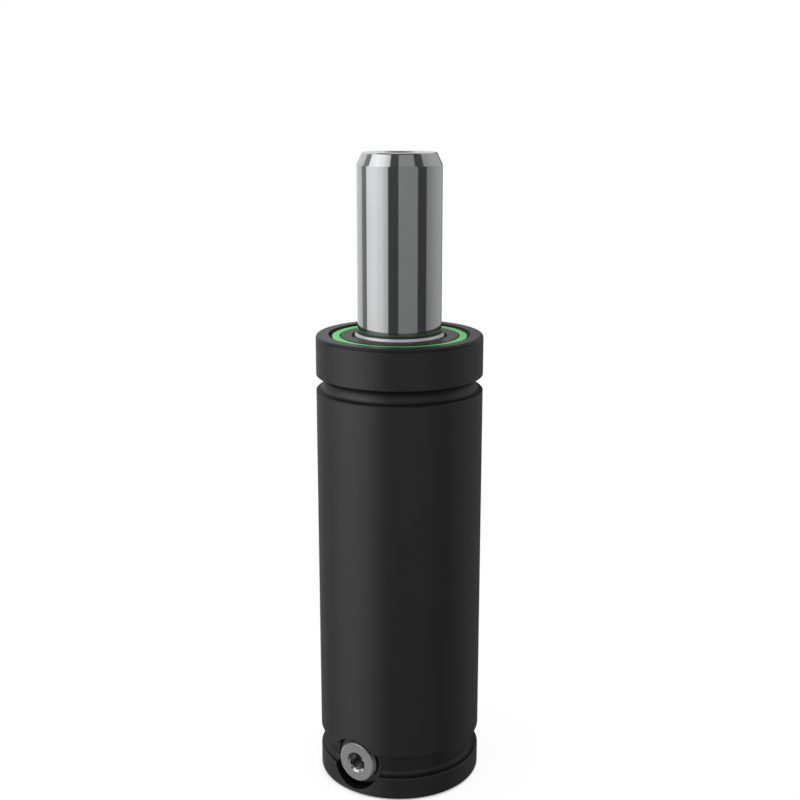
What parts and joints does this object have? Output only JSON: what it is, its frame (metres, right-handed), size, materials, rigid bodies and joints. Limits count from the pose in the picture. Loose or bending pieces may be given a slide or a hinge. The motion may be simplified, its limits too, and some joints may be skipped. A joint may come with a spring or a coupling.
{
  "type": "nitrogen die spring",
  "caption": "Gas spring for press tooling: a black grooved steel cylinder with a side charging plug, and a polished rod that slides in through a sealed guide behind a green dust cover.",
  "frame": {"origin": "centre of the cylinder's flat bottom face", "axes": "+Z along the rod, pointing out of its free end; the charging port faces -Y; the two base holes lie along X"},
  "size_m": [0.05, 0.05, 0.1929],
  "materials": {
    "black_steel": "satin black nitrided steel",
    "guide_steel": "satin black oxided steel",
    "bush_bronze": "plain sintered bronze",
    "seal_polyurethane": "smooth moulded polyurethane",
    "backing_plastic": "turned hard plastic",
    "plain_steel": "turned steel",
    "seal_rubber": "moulded nitrile rubber",
    "spring_steel": "drawn spring wire",
    "cover_green": "moulded green plastic",
    "scraper_steel": "bright turned steel",
    "polished_rod": "ground and polished hard surface",
    "wear_plastic": "filled plastic strip",
    "valve_brass": "turned brass",
    "plug_steel": "fine blasted zinc grey with a bright edge"
  },
  "bodies": {
    "cylinder": {"cylinder_tube": "black_steel", "guide_housing": "guide_steel", "guide_bush": "bush_bronze", "rod_seal": "seal_polyurethane", "seal_backup_ring": "backing_plastic", "seal_retainer": "plain_steel", "guide_o_ring": "seal_rubber", "guide_backup_ring": "backing_plastic", "lock_ring": "spring_steel", "dust_cover": "cover_green", "rod_scraper": "scraper_steel", "valve_body": "valve_brass", "valve_o_ring": "seal_rubber", "valve_spring": "spring_steel", "port_plug": "plug_steel", "port_plug_seal": "seal_rubber"},
    "piston_ring": {"piston_wear_ring": "wear_plastic"},
    "rod": {"piston_rod": "polished_rod"},
    "poppet": {"valve_poppet": "valve_brass", "valve_poppet_seal": "seal_rubber"}
  },
  "joints": [
    {"name": "rod_slide", "type": "slide", "parent": "cylinder", "child": "piston_ring", "axis": [0, 0, 1], "range_m": [-0.05, 0], "stiffness_N_per_m": 73000, "springref_m": 0.003},
    {"name": "rod_spin", "type": "hinge", "parent": "piston_ring", "child": "rod", "pos_m": [0, 0, 0.083], "axis": [0, 0, 1], "continuous": true},
    {"name": "poppet_slide", "type": "slide", "parent": "cylinder", "child": "poppet", "axis": [0, 1, 0], "range_m": [0, 0.001], "stiffness_N_per_m": 400, "springref_m": -0.0001, "deforming": ["valve_spring"]}
  ]
}
